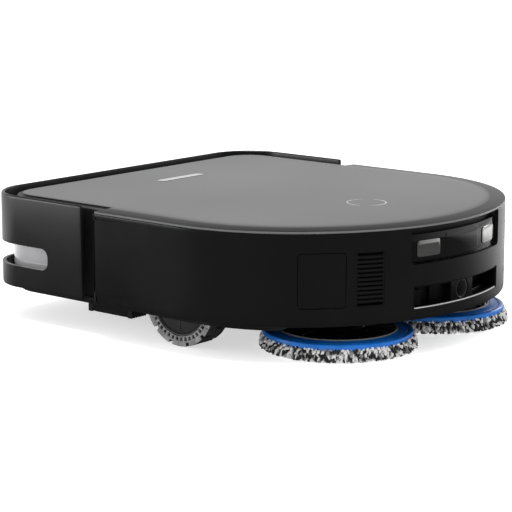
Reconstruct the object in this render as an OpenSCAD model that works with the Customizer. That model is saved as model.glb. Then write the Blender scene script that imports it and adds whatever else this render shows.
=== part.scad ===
// Robotic floor cleaner: a low D-shaped vacuum and mop robot.
// Frame: +Z up, floor at z = 0, origin on the floor under the middle of the body.
// The bumper faces -Y, the mop pads and the docking ports face +Y, and +X is the robot's left.

/* [Body] */
// Width of the body across the wheels
body_w = 330; // [326:1:334]
// Length of the body from bumper to rear wall
body_l = 366; // [364:1:370]
// Radius of the two front corners
corner_r = 42; // [38:1:46]
// Radius of the side arcs that start the rounded rear
side_arc_r = 140; // [138:1:142]
// Depth of the rounded rear
rear_depth = 150; // [149:1:151]
// Wall thickness of the outer shells
wall = 3; // [2.5:0.1:3.2]

/* [Heights] */
// Underside of the chassis above the floor
base_z = 22; // [21.5:0.1:22.3]
// Bottom edge of the side wall
skirt_z = 28; // [28:0.1:28.3]
// Top edge of the side wall, where the lid sits
seam_z = 98.2; // [98:0.1:98.6]
// Top face of the lid
lid_z = 101.3; // [101.2:0.1:101.5]
// Top edge of the bumper lip
lip_z = 103.1; // [102.8:0.1:103.6]

/* [Bumper] */
// How far the bumper pushes in
bumper_travel = 5; // [3:0.5:5]
// Rear end of the bumper's side arms
bumper_end_y = -66.9; // [-70:0.1:-66]
// Front end of the side wall behind the bumper
wall_start_y = -53.5; // [-54:0.1:-53]
// Bottom of the sensor slot in the bumper
slot_z0 = 46; // [45:0.5:47]
// Top of the sensor slot in the bumper
slot_z1 = 63.5; // [63:0.5:65]
// Rear end of the sensor slot
slot_end_y = -105; // [-108:1:-104]

/* [Mops] */
// Distance of each mop axis from the middle
mop_x = 62; // [62:0.5:63]
// Mop axis behind the origin
mop_y = 108; // [107:0.5:109]
// Radius of the mop pad
pad_r = 61; // [59:0.5:61]
// Radius of the blue backing plate
plate_r = 58; // [56:0.5:58]
// How far the mops lift off the floor
mop_lift = 9; // [7:0.5:9]

/* [Drive] */
// Radius of the drive wheels over the lugs
wheel_r = 35; // [34:0.5:35]
// Outer face of the drive wheels
wheel_x = 144.5; // [144:0.5:145]
// Tread width
wheel_w = 22; // [20:0.5:22]
// Drive axle position along Y
wheel_y = 17; // [16:0.5:18]
// Radius of the front caster wheel
caster_r = 16; // [15:0.5:16]

/* [Cleaning] */
// Radius of the main brush over its blades
brush_r = 19.5; // [18:0.5:19.5]
// Reach of the side brush from its shaft
side_brush_r = 61; // [56:1:62]

/* [Hidden] */
$fn = 64;

big = 500;
half_w = body_w / 2;
half_l = body_l / 2;
// The rounded rear is three tangent arcs: one on each side and one across the back.
rear_y = half_l - rear_depth;
side_arc_x = half_w - side_arc_r;
rear_arc_r = (pow(side_arc_x, 2) + pow(rear_depth, 2) - pow(side_arc_r, 2))
    / (2 * (rear_depth - side_arc_r));
rear_arc_y = half_l - rear_arc_r;
tangent_deg = atan2(rear_y - rear_arc_y, side_arc_x);

inner_inset = 13;              // the recessed wall behind the bumper
inner_wall = 2.5;
deck_z = 91;                   // underside of the deck
deck_t = 2.5;
bay_z = 31;                    // floor over the mops
brush_y = -72;
brush_z = 27;
caster_y = -138;
side_brush_x = -118;
side_brush_y = -132;
pivot_y = -14;                 // suspension pivot
pivot_z = 50;
well_x0 = 106;
well_x1 = 149;
well_y0 = -26;
well_y1 = 60;
axle_z = wheel_r;
fit_gap = 0.05;                // radial running clearance
vent_deg = 59.7;               // direction of each vent from the rear arc's centre
panel_deg = 47.6;
side_z0 = 42;                  // the vents and side panels span these heights
side_z1 = 84;
panel_z0 = 70.5;               // rear upper opening, and the panel's top edge inside it
panel_z1 = 93;
panel_inset = 3;
port_z0 = 36.5;                // rear lower opening
port_z1 = 54;
inlet_x = 3;
inlet_z = 45.6;
inlet_r = 7.6;
grip_y = -108;                 // hinge of the bin's handle
grip_z = 90.6;
fan_x = -55;
fan_y = 12;

// The outline seen from above, drawn "inset" inside the outer wall.
module outline(inset = 0) {
    translate([-half_w + inset, -half_l + corner_r])
        square([body_w - 2 * inset, rear_y + half_l - corner_r]);
    translate([-half_w + corner_r, -half_l + inset])
        square([body_w - 2 * corner_r, corner_r]);
    for (s = [-1, 1]) {
        translate([s * (half_w - corner_r), -half_l + corner_r]) circle(corner_r - inset);
        translate([s * side_arc_x, rear_y]) circle(side_arc_r - inset);
    }
    intersection() {
        translate([0, rear_arc_y]) circle(rear_arc_r - inset);
        translate([0, rear_arc_y]) polygon([
            [0, 0],
            [big * cos(tangent_deg), big * sin(tangent_deg)],
            [-big * cos(tangent_deg), big * sin(tangent_deg)]
        ]);
    }
}

// A solid slice of the body between two heights.
module slab(z0, z1, inset) translate([0, 0, z0]) linear_extrude(z1 - z0) outline(inset);

// A wall that follows the outline, between two insets.
module ring(z0, z1, inset0, inset1) translate([0, 0, z0]) linear_extrude(z1 - z0)
    difference() {
        outline(inset0);
        outline(inset1);
    }

module box(x0, x1, y0, y1, z0, z1) translate([x0, y0, z0]) cube([x1 - x0, y1 - y0, z1 - z0]);

module behind(y) box(-big, big, y, big, -big, big);
module ahead(y) box(-big, big, -big, y, -big, big);

module rod_x(x0, x1, y, z, r) translate([x0, y, z]) rotate([0, 90, 0]) cylinder(h = x1 - x0, r = r);
module rod_y(y0, y1, x, z, r) translate([x, y0, z]) rotate([-90, 0, 0]) cylinder(h = y1 - y0, r = r);
module rod_z(z0, z1, x, y, r) translate([x, y, z0]) cylinder(h = z1 - z0, r = r);

module both_sides() for (s = [0, 1]) mirror([s, 0, 0]) children();

// Cuts a wall at one direction seen from the rear arc's centre: half width t, heights z0 to z1.
module wall_patch(deg, t, z0, z1) translate([0, rear_arc_y, 0]) rotate([0, 0, deg])
    box(rear_arc_r - 16, rear_arc_r + 10, -t, t, z0, z1);

// ---------- chassis ----------

module base_plate() color([0.05, 0.05, 0.055]) difference() {
    hull() {
        slab(base_z, base_z + 0.3, 16);
        slab(skirt_z - 1.2, skirt_z, 9);
    }
    both_sides() box(well_x0 + 1.5, well_x1 - 1.5, well_y0 + 1.5, well_y1 - 1.5, 0, 40);
    box(-103, 103, brush_y - 25, brush_y + 25, 0, 40);
    rod_z(0, 40, 0, caster_y, 22);
    rod_z(0, 40, side_brush_x, side_brush_y, 12.5);
    both_sides() rod_z(0, 40, mop_x, mop_y, 66);
    box(-big, big, 112, big, 0, 40);
    cliff_places() box(-7.1, 7.1, -4.6, 4.6, 0, 40);
    screw_places() rod_z(0, 40, 0, 0, 1.7);
}

module cliff_places() both_sides() {
    translate([82, -153, 0]) children();
    translate([139, -112, 0]) children();
}

module screw_places() both_sides() {
    translate([30, -155, 0]) children();
    translate([140, -60, 0]) children();
    translate([92, 20, 0]) children();
    translate([40, 0, 0]) children();
}

module cliff_sensors() color([0.16, 0.03, 0.05]) cliff_places() {
    box(-7, 7, -4.5, 4.5, base_z + 0.4, skirt_z);
    box(-9, 9, -6, 6, skirt_z, skirt_z + 6);
}

module housing_screws() color("silver") screw_places() {
    difference() {
        rod_z(base_z - 1.6, base_z, 0, 0, 3.2);
        rod_z(base_z - 2, base_z - 0.7, 0, 0, 1.4);
    }
    rod_z(base_z, skirt_z, 0, 0, 1.6);
}

module side_shell() color([0.06, 0.06, 0.065]) difference() {
    union() {
        intersection() {
            union() {
                ring(skirt_z, seam_z, 0, wall);
                ring(skirt_z, skirt_z + 2.5, wall, inner_inset);
            }
            behind(wall_start_y);
        }
        intersection() {
            ring(skirt_z, seam_z, 0, inner_inset + inner_wall);
            box(-big, big, wall_start_y, wall_start_y + 3, 0, 200);
        }
        intersection() {
            ring(skirt_z, seam_z, inner_inset, inner_inset + inner_wall);
            ahead(wall_start_y + 1);
        }
    }
    box(-big, big, -big, -112, 48, 62);
    both_sides() wall_patch(vent_deg, 11.5, side_z0, side_z1);
    both_sides() wall_patch(panel_deg, 18.4, side_z0, side_z1);
    box(-57.5, 57.5, 120, big, panel_z0, 120);
    box(-55.5, 55.5, 120, big, port_z0, port_z1);
    both_sides() rod_y(-200, -150, 110, 80, 3 + fit_gap);
    both_sides() rod_y(-200, -150, 89.5, 79, 1.2);
}

module top_deck() color([0.1, 0.1, 0.105]) difference() {
    union() {
        intersection() {
            slab(deck_z, deck_z + deck_t, wall);
            behind(wall_start_y + 3);
        }
        slab(deck_z, deck_z + deck_t, inner_inset + inner_wall);
    }
    box(-78, 78, -120, -18, 80, 100);
    difference() {
        box(-57.5, 57.5, 120, big, 80, 100);
        slab(80, 100, 8);
    }
    rod_z(80, 100, 0, -145, 3.3);
}

module mop_bay() color([0.09, 0.09, 0.095]) difference() {
    intersection() {
        slab(skirt_z, bay_z, inner_inset);
        behind(well_y1 + 1);
    }
    both_sides() rod_z(20, 40, mop_x, mop_y, 9);
}

module wheel_wells() color([0.09, 0.09, 0.095]) both_sides() {
    difference() {
        box(well_x0, well_x1, well_y0, well_y1, skirt_z, deck_z);
        box(well_x0 + 1.5, well_x1 - 1.5, well_y0 + 1.5, well_y1 - 1.5, 20, deck_z - 2);
    }
    rod_x(well_x0 + 1.5, 122.2, pivot_y, pivot_z, 3);
}

module sensor_window() color([0.02, 0.02, 0.022]) intersection() {
    union() {
        ring(43, 67, 9.5, 11.5);
        ring(43, 45, 11.5, inner_inset);
        ring(65, 67, 11.5, inner_inset);
    }
    ahead(-100);
}

module front_sensors() color([0.2, 0.2, 0.22]) {
    for (x = [-56, 0, 56]) {
        box(x - 10, x + 10, -164, -150, 48, 62);
        box(x - 6, x + 6, -164, -162.7, skirt_z, 48);
        rod_y(-167, -164, x, 55, 5);
    }
}

module main_board() color([0.05, 0.25, 0.12]) {
    box(-20, 88, -14, 50, 82, 83.6);
    box(0, 16, 4, 20, 83.6, 86);
    box(34, 58, 10, 24, 83.6, 87);
    box(66, 80, -4, 12, 83.6, 88.5);
    box(-14, -4, 22, 38, 83.6, 89);
    for (x = [-16, 84]) for (y = [-10, 46]) rod_z(83.6, deck_z, x, y, 2.5);
}

module battery_pack() color([0.14, 0.17, 0.32]) {
    box(-82, 82, -20, 42, skirt_z, 57);
    box(70, 80, 42, 45, 40, 50);
}

module fan_housing() color([0.12, 0.12, 0.13]) {
    difference() {
        union() {
            rod_z(57, 84, fan_x, fan_y, 29);
            box(fan_x - 29, fan_x, fan_y, fan_y + 38, 62, 80);
        }
        rod_z(60, 82, fan_x, fan_y, 26.5);
        rod_z(80, 90, fan_x, fan_y, 15);
        box(fan_x - 26.5, fan_x - 8, fan_y, big, 64, 78);
    }
    rod_z(60, 76, fan_x, fan_y, 2);
}

module fan_impeller() color("silver") difference() {
    union() {
        rod_z(61, 63, fan_x, fan_y, 25);
        rod_z(63, 79, fan_x, fan_y, 7);
        for (i = [0 : 8]) translate([fan_x, fan_y, 63]) rotate([0, 0, i * 40])
            translate([6, -0.6, 0]) rotate([0, 0, 25]) cube([17, 1.2, 12]);
    }
    rod_z(50, 77, fan_x, fan_y, 2 + fit_gap);
}

module water_tank() color([0.35, 0.4, 0.45]) difference() {
    box(-86, 86, 66, 148, 60, 89);
    box(-84, 84, 68, 146, 62, 87);
    rod_z(86, 95, 60, 107, 8);
}

module water_pump() color([0.25, 0.25, 0.27]) {
    box(-20, 20, 44, 57, skirt_z, 46);
    rod_z(46, 64, 0, 50, 3);
    rod_y(50, 66, 0, 64, 3);
}

module mop_drives() color([0.1, 0.1, 0.11]) both_sides() difference() {
    rod_z(bay_z, 60, mop_x, mop_y, 24);
    rod_z(bay_z - 1, 48, mop_x, mop_y, 9);
    rod_z(40, 58, mop_x, mop_y, 6.3);
}

// ---------- rear docking ports ----------

module rear_panel() color([0.03, 0.03, 0.032]) difference() {
    intersection() {
        ring(panel_z0, seam_z, 0.8, 8);
        box(-57.5, 57.5, 120, big, 0, 200);
    }
    intersection() {
        union() {
            ring(panel_z0 + 1.2, seam_z + 1, -5, panel_inset);
            ring(panel_z1, seam_z + 1, -5, 7);
        }
        box(-56.3, 56.3, 120, big, 0, 200);
    }
}

module ir_window() color([0.12, 0.02, 0.04]) intersection() {
    ring(75, 91, panel_inset - 0.5, panel_inset);
    box(-22, 22, 120, big, 0, 200);
}

module charging_contacts() color("silver") both_sides() intersection() {
    ring(75.5, 88, panel_inset - 0.8, panel_inset);
    box(28.5, 51, 120, big, 0, 200);
}

module rear_port_frame() color([0.05, 0.05, 0.055]) difference() {
    union() {
        intersection() {
            ring(port_z0, port_z1, 0.8, 10);
            box(-55.5, 55.5, 120, big, 0, 200);
        }
        intersection() {
            slab(37.5, 53.5, 7);
            union() {
                box(-54.5, -9.5, 148, big, 0, 200);
                box(31.5, 49.5, 148, big, 0, 200);
            }
        }
    }
    intersection() {
        ring(port_z0 + 1.5, port_z1 - 1.5, -5, 7);
        union() {
            box(-54, -11, 120, big, 0, 200);
            box(17, 48, 120, big, 0, 200);
        }
    }
    intersection() {
        ring(port_z0 + 1.5, port_z1 - 1.5, -5, 2.5);
        box(-54, 54, 120, big, 0, 200);
    }
    box(34, 47, 151, big, 39.5, 51.5);
    box(-52, -12, 120, big, 39.5, 51.5);
    rod_y(120, 200, inlet_x, inlet_z, inlet_r);
    rod_x(-53.6, -10.4, 157.6, 49.9, 1.2 + fit_gap);
}

module water_inlet() color([0.03, 0.03, 0.03]) difference() {
    rod_y(164, 180, inlet_x, inlet_z, inlet_r);
    rod_y(160, 190, inlet_x, inlet_z, inlet_r - 1.6);
}

module dust_flap() color([0.04, 0.04, 0.045]) {
    box(-51.5, -12.5, 157, 158.2, 40, 49.9);
    rod_x(-53.5, -10.5, 157.6, 49.9, 1.2);
}

// ---------- openings in the side walls ----------

module side_vents() color([0.04, 0.04, 0.045]) both_sides() difference() {
    intersection() {
        ring(side_z0, side_z1, 0.5, wall);
        wall_patch(vent_deg, 11.5, side_z0, side_z1);
    }
    for (i = [0 : 11]) wall_patch(vent_deg, 10.3, side_z0 + 1.2 + i * 3.36, side_z0 + 3.3 + i * 3.36);
}

module side_panels() color([0.06, 0.06, 0.065]) both_sides() {
    intersection() {
        ring(side_z0 + 0.4, side_z1 - 0.4, 0.1, wall);
        wall_patch(panel_deg, 18, 0, 200);
    }
    intersection() {
        ring(side_z0 - 2, side_z1 + 2, wall, wall + 1.5);
        wall_patch(panel_deg, 20.5, 0, 200);
    }
}

// ---------- caster ----------

module caster_socket() color([0.09, 0.09, 0.095]) difference() {
    rod_z(skirt_z, 44, 0, caster_y, 24.5);
    rod_z(20, 39.5, 0, caster_y, 22);
    rod_z(30, 50, 0, caster_y, 4 + fit_gap);
}

module caster_fork() color([0.12, 0.12, 0.125]) {
    rod_z(34.5, 38, 0, caster_y, 15);
    rod_z(38, 45.5, 0, caster_y, 4);
    for (x = [-11, 8.6]) box(x, x + 2.4, caster_y - 5, caster_y + 11, 12, 34.5);
    rod_x(-11, 11, caster_y + 4, caster_r, 2);
}

module caster_wheel() color([0.15, 0.15, 0.155])
    translate([0, caster_y + 4, caster_r]) rotate([0, 90, 0]) difference() {
        rotate_extrude() polygon([
            [0, -8], [caster_r - 3, -8], [caster_r, -5], [caster_r, 5], [caster_r - 3, 8], [0, 8]
        ]);
        translate([0, 0, -10]) cylinder(h = 20, r = 2 + fit_gap);
    }

// ---------- main brush ----------

module brush_housing() color([0.1, 0.1, 0.105]) difference() {
    box(-103, 103, brush_y - 25, brush_y + 25, base_z, 54);
    rod_x(-100, 100, brush_y, brush_z, 21.8);
    box(-100, 100, brush_y - 21.8, brush_y + 21.8, 20, brush_z);
    rod_x(-101.6, 101.6, brush_y, brush_z, 3 + fit_gap);
    box(-28, 28, brush_y, brush_y + 16, 45, 60);
}

module brush_core() color([0.2, 0.22, 0.25]) {
    rod_x(-91, 91, brush_y, brush_z, 12);
    rod_x(-101.3, 101.3, brush_y, brush_z, 3);
}

// The blades are split where the guard's bars cross the brush.
module brush_blades() color([0.1, 0.3, 0.55]) difference() {
    translate([0, brush_y, brush_z]) for (i = [0 : 5]) rotate([i * 60, 0, 0])
        for (x = [[-88, -63], [-57, -23], [-17, 17], [23, 57], [63, 88]])
            box(x[0], x[1], -1, 1, 11.8, brush_r);
    rod_x(-95, 95, brush_y, brush_z, 12);
}

module brush_drive() color([0.2, 0.2, 0.21]) {
    box(-111, -103, brush_y - 20, -27, skirt_z, 52);
    rod_x(-103, -50, -34, 38, 8);
}

module brush_guard() color([0.05, 0.05, 0.055]) {
    difference() {
        union() {
            hull() {
                box(-132, 132, brush_y - 25, brush_y + 25, base_z - 1, base_z);
                box(-128, 128, brush_y - 21, brush_y + 21, 9.5, 10);
            }
            for (i = [0 : 6]) translate([-130 + i * 2.6, brush_y - 24, 9.5]) cube([1.2, 4, 9]);
            for (i = [0 : 6]) translate([112 + i * 2.6, brush_y - 24, 9.5]) cube([1.2, 4, 9]);
        }
        box(-100, 100, brush_y - 17, brush_y + 17, 0, 40);
        box(-100, 100, brush_y - 21, brush_y + 21, 13, 40);
    }
    for (x = [-60, -20, 20, 60]) box(x - 1.2, x + 1.2, brush_y - 17, brush_y + 17, 9.5, 11.7);
}

// ---------- side brush ----------

module side_brush_motor() color([0.2, 0.2, 0.21]) difference() {
    rod_z(skirt_z, 52, side_brush_x, side_brush_y, 16);
    rod_z(20, 40, side_brush_x, side_brush_y, 2.5 + fit_gap);
}

module side_brush_hub() color([0.1, 0.1, 0.105]) {
    rod_z(4, 21, side_brush_x, side_brush_y, 11);
    rod_z(21, 39, side_brush_x, side_brush_y, 2.5);
}

module side_brush_arms() color([0.15, 0.15, 0.16]) for (a = [228, 348, 108])
    translate([side_brush_x, side_brush_y, 4]) rotate([0, 0, a]) linear_extrude(3) difference() {
        polygon([[0, -3], [side_brush_r, -6], [side_brush_r, 6], [0, 3]]);
        circle(11);
    }

// ---------- bumper ----------

module bumper_shell() color([0.1, 0.1, 0.105]) difference() {
    intersection() {
        ring(skirt_z, lip_z, 0, wall);
        ahead(bumper_end_y);
    }
    box(-big, big, -big, slot_end_y, slot_z0, slot_z1);
}

module bumper_guides() color([0.3, 0.3, 0.31]) both_sides() rod_y(-half_l + wall, -160, 110, 80, 3);

module bumper_switches() color([0.4, 0.1, 0.1]) both_sides() {
    box(84, 96, -167.5, -158, 74, 84);
    box(88, 91, -172, -170, 77, 81);
    rod_y(-170, -167.5, 89.5, 79, 1);
}

// ---------- lid ----------

module lid_shape(inset) hull() {
    slab(seam_z + 0.3, seam_z + 1.2, inset);
    slab(lid_z - 0.8, lid_z - 0.7, inset + 1.4);
    slab(lid_z - 0.3, lid_z - 0.2, inset + 3.6);
    slab(lid_z - 0.1, lid_z, inset + 6.5);
}

module top_lid() color([0.33, 0.33, 0.34]) difference() {
    union() {
        intersection() {
            lid_shape(0.2);
            behind(wall_start_y + 0.2);
        }
        lid_shape(inner_inset + 0.4);
    }
    intersection() {
        slab(90, lid_z - 2.2, wall);
        behind(wall_start_y + 3);
    }
    slab(90, lid_z - 2.2, inner_inset + 3.2);
    lid_inlay();
}

module lid_inlay() color("silver") translate([0, -112, lid_z - 0.8]) linear_extrude(1) {
    square([44, 8], center = true);
    for (x = [-22, 22]) translate([x, 0]) circle(4);
}

module touch_mark() color("lightgray") translate([0, 87, lid_z]) linear_extrude(0.15) difference() {
    circle(16);
    circle(15);
    for (a = [20, 200]) rotate([0, 0, a]) square([20, 9]);
}

module power_button() color([0.75, 0.75, 0.76]) {
    rod_z(95.2, 97.4, 0, -145, 6);
    rod_z(89, 95.2, 0, -145, 3);
}

// ---------- dust bin ----------

module bin_tub() color([0.3, 0.3, 0.32]) difference() {
    box(-75, 75, -117, -21, 58, 84);
    box(-73, 73, -115, -23, 60, 90);
    box(-28, 28, brush_y, brush_y + 16, 50, 62);
    box(-44, 44, -30, -10, 63, 81);
}

module bin_cover() color([0.2, 0.2, 0.21]) difference() {
    union() {
        box(-75, 75, -117, -21, 84, 87.5);
        both_sides() box(62.4, 66, grip_y - 4, grip_y + 4, 87.5, grip_z + 2.8);
    }
    both_sides() rod_x(60, 70, grip_y, grip_z, 1.3 + fit_gap);
}

module bin_filter() color("white") {
    box(-46, 46, -29, -23, 60, 83);
    box(-43.5, 43.5, -23, -21, 63.5, 80.5);
}

module bin_handle() color([0.1, 0.3, 0.6]) {
    both_sides() {
        box(57, 62, grip_y - 1.4, -62, grip_z - 2.2, grip_z + 2.2);
        rod_x(61, 65.5, grip_y, grip_z, 1.3);
    }
    box(-62, 62, -66, -60, grip_z - 2.2, grip_z + 2.2);
}

// ---------- drive units ----------

module drive_arm() color([0.15, 0.15, 0.155]) difference() {
    union() {
        rod_x(109, 121.6, pivot_y, pivot_z, 8.5);
        rod_x(114.5, 121.6, wheel_y, axle_z, 13);
        translate([114.5, 0, 0]) rotate([90, 0, 90]) linear_extrude(7.1) polygon([
            [pivot_y - 5, pivot_z - 7], [wheel_y - 3, axle_z - 12],
            [wheel_y + 6, axle_z + 11], [pivot_y + 3, pivot_z + 8]
        ]);
        rod_x(109, 115, 4, 43, 9);
        rod_x(121, wheel_x - 5.5, wheel_y, axle_z, 4);
    }
    rod_x(100, 130, pivot_y, pivot_z, 3 + fit_gap);
}

module wheel_rim() color([0.14, 0.14, 0.145])
    translate([wheel_x - wheel_w, wheel_y, axle_z]) rotate([0, 90, 0]) difference() {
        cylinder(h = wheel_w - 1, r = wheel_r - 8);
        translate([0, 0, wheel_w - 4]) difference() {
            cylinder(h = 10, r = wheel_r - 11);
            cylinder(h = 10, r = 13);
        }
        translate([0, 0, -5]) cylinder(h = wheel_w, r = 4 + fit_gap);
    }

module wheel_tyre() color([0.3, 0.3, 0.3])
    translate([wheel_x - wheel_w, wheel_y, axle_z]) rotate([0, 90, 0]) {
    difference() {
        cylinder(h = wheel_w, r = wheel_r - 2);
        translate([0, 0, -1]) cylinder(h = wheel_w + 2, r = wheel_r - 8);
    }
    for (i = [0 : 17]) rotate([0, 0, i * 20])
        translate([wheel_r - 2.4, -2.6, 1]) cube([2.3, 5.2, wheel_w - 2]);
}

coil_turns = 6;
coil_rings = coil_turns * 12;
coil_r = 3.8;
coil_wire = 0.55;
coil_z0 = 57;
coil_z1 = deck_z - 2;

function coil_point(i, k) =
    let (a = 360 * i / 12, b = 60 * k, r = coil_r + coil_wire * cos(b))
    [
        r * cos(a),
        r * sin(a),
        coil_z0 + 1 + (coil_z1 - coil_z0 - 2) * i / coil_rings + coil_wire * sin(b)
    ];

module suspension_spring(x) color("silver") translate([x, 3, 0]) polyhedron(
    points = [for (i = [0 : coil_rings]) for (k = [0 : 5]) coil_point(i, k)],
    faces = concat(
        [[for (k = [0 : 5]) k]],
        [for (i = [0 : coil_rings - 1]) for (k = [0 : 5])
            let (a = i * 6 + k, b = i * 6 + (k + 1) % 6) [a, a + 6, b + 6, b]],
        [[for (k = [5 : -1 : 0]) coil_rings * 6 + k]]
    )
);

// ---------- mops ----------

module mop_carrier() color([0.2, 0.2, 0.21]) difference() {
    rod_z(24, 36, mop_x, mop_y, 9 - fit_gap);
    rod_z(20, 40, mop_x, mop_y, 6 + fit_gap);
}

module mop_plate() color([0.05, 0.3, 0.75]) {
    rod_z(8, 14, mop_x, mop_y, plate_r);
    rod_z(14, 17, mop_x, mop_y, 46);
    rod_z(17, 18.5, mop_x, mop_y, 20);
    rod_z(18.5, 48, mop_x, mop_y, 6);
}

module mop_pad() color([0.6, 0.6, 0.6]) rod_z(0, 8, mop_x, mop_y, pad_r);

base_plate();
side_shell();
top_deck();
mop_bay();
wheel_wells();
sensor_window();
front_sensors();
main_board();
battery_pack();
fan_housing();
fan_impeller();
water_tank();
water_pump();
mop_drives();
rear_panel();
ir_window();
charging_contacts();
rear_port_frame();
water_inlet();
dust_flap();
side_vents();
side_panels();
caster_socket();
caster_fork();
caster_wheel();
brush_housing();
brush_drive();
brush_guard();
brush_core();
brush_blades();
side_brush_motor();
side_brush_hub();
side_brush_arms();
cliff_sensors();
housing_screws();
bumper_shell();
bumper_guides();
bumper_switches();
top_lid();
lid_inlay();
touch_mark();
power_button();
bin_tub();
bin_cover();
bin_filter();
bin_handle();
drive_arm();  // drive_arm_left
mirror([1, 0, 0]) drive_arm();  // drive_arm_right
suspension_spring(116.8);  // suspension_spring_left
suspension_spring(-116.8);  // suspension_spring_right
wheel_rim();  // wheel_rim_left
mirror([1, 0, 0]) wheel_rim();  // wheel_rim_right
wheel_tyre();  // wheel_tyre_left
mirror([1, 0, 0]) wheel_tyre();  // wheel_tyre_right
mop_carrier();  // mop_carrier_left
mirror([1, 0, 0]) mop_carrier();  // mop_carrier_right
mop_plate();  // mop_plate_left
mirror([1, 0, 0]) mop_plate();  // mop_plate_right
mop_pad();  // mop_pad_left
mirror([1, 0, 0]) mop_pad();  // mop_pad_right
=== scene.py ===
import math
import random
import bpy
import bmesh
from mathutils import Vector, Matrix


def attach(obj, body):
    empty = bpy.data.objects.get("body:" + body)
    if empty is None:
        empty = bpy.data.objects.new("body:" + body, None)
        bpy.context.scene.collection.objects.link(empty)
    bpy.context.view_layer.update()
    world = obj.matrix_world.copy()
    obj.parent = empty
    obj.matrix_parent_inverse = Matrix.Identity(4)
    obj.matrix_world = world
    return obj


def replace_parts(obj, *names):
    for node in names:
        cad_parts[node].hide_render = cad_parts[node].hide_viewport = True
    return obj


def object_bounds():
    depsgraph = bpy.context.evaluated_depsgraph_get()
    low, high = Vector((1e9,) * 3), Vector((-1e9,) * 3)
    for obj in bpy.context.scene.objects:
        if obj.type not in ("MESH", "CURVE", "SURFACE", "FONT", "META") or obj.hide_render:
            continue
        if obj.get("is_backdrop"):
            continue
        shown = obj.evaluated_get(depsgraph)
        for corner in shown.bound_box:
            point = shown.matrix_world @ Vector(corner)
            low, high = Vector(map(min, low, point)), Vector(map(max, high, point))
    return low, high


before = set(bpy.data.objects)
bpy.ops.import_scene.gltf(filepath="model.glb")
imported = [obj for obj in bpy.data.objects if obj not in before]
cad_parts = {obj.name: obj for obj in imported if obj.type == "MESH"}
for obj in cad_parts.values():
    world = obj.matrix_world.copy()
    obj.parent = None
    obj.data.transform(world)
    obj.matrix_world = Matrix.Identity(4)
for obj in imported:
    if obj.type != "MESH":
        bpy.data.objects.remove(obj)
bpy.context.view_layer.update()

# Robotic floor cleaner. Metres; the numbers in shapes are millimetres and go through MM.
MM = 0.001
TAU = math.tau

HALF_W, HALF_L, CORNER_R, SIDE_R, REAR_DEPTH = 165.0, 183.0, 42.0, 140.0, 150.0
REAR_Y = HALF_L - REAR_DEPTH
SIDE_X = HALF_W - SIDE_R
REAR_R = (SIDE_X ** 2 + REAR_DEPTH ** 2 - SIDE_R ** 2) / (2 * (REAR_DEPTH - SIDE_R))
REAR_CY = HALF_L - REAR_R
TANGENT = math.atan2(REAR_Y - REAR_CY, SIDE_X)
REAR_S = REAR_R * (math.pi / 2 - TANGENT)     # arc length from the rear middle to the side arc
SIDE_S = REAR_S + SIDE_R * TANGENT            # and on to the straight side
SKIRT_Z, SEAM_Z, LIP_Z = 28.0, 98.2, 103.1
WALL_Y, BUMPER_Y = -53.5, -66.9
SIDES = (("left", 1), ("right", -1))
MOP_X, MOP_Y = 62.0, 108.0


# ---------------------------------------------------------------- outline

def rear_at(s):
    """Point and outward normal at arc length s round the rear, 0 in the middle, positive towards +X."""
    sign, a = (1, s) if s >= 0 else (-1, -s)
    if a <= REAR_S:
        t = math.pi / 2 - a / REAR_R
        n = (math.cos(t), math.sin(t))
        p = (REAR_R * n[0], REAR_CY + REAR_R * n[1])
    elif a <= SIDE_S:
        t = TANGENT - (a - REAR_S) / SIDE_R
        n = (math.cos(t), math.sin(t))
        p = (SIDE_X + SIDE_R * n[0], REAR_Y + SIDE_R * n[1])
    else:
        n = (1.0, 0.0)
        p = (HALF_W, REAR_Y - (a - SIDE_S))
    return (sign * p[0], p[1]), (sign * n[0], n[1])


def front_at(s):
    """The same round the front: s is 0 in the middle of the bumper, positive towards +X."""
    sign, a = (1, s) if s >= 0 else (-1, -s)
    run = HALF_W - CORNER_R
    bend = CORNER_R * math.pi / 2
    if a <= run:
        p, n = (a, -HALF_L), (0.0, -1.0)
    elif a <= run + bend:
        t = (a - run) / CORNER_R
        n = (math.sin(t), -math.cos(t))
        p = (run + CORNER_R * n[0], -HALF_L + CORNER_R + CORNER_R * n[1])
    else:
        n = (1.0, 0.0)
        p = (HALF_W, -HALF_L + CORNER_R + a - run - bend)
    return (sign * p[0], p[1]), (sign * n[0], n[1])


def rear_s(y):
    return SIDE_S + REAR_Y - y


def front_s(y):
    return HALF_W - CORNER_R + CORNER_R * math.pi / 2 + (y + HALF_L - CORNER_R)


def spread(a, b, step):
    n = max(1, int(round(abs(b - a) / step)))
    return [a + (b - a) * i / n for i in range(n + 1)]


def arc(x, y, r, start, end, steps):
    """Points of an arc about (x, y), from one angle to another."""
    turns = [start + (end - start) * i / steps for i in range(steps + 1)]
    return [(x + r * math.cos(t), y + r * math.sin(t)) for t in turns]


def flat(points, z):
    """Outline points in mm, as vectors at one height."""
    return [Vector((x, y, z)) * MM for x, y in points]


def at(where, s, z, inset):
    """A point of the outline at height z, moved in from it by the inset."""
    p, n = where(s)
    return Vector((p[0] - n[0] * inset, p[1] - n[1] * inset, z)) * MM


# ---------------------------------------------------------------- mesh kit

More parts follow.
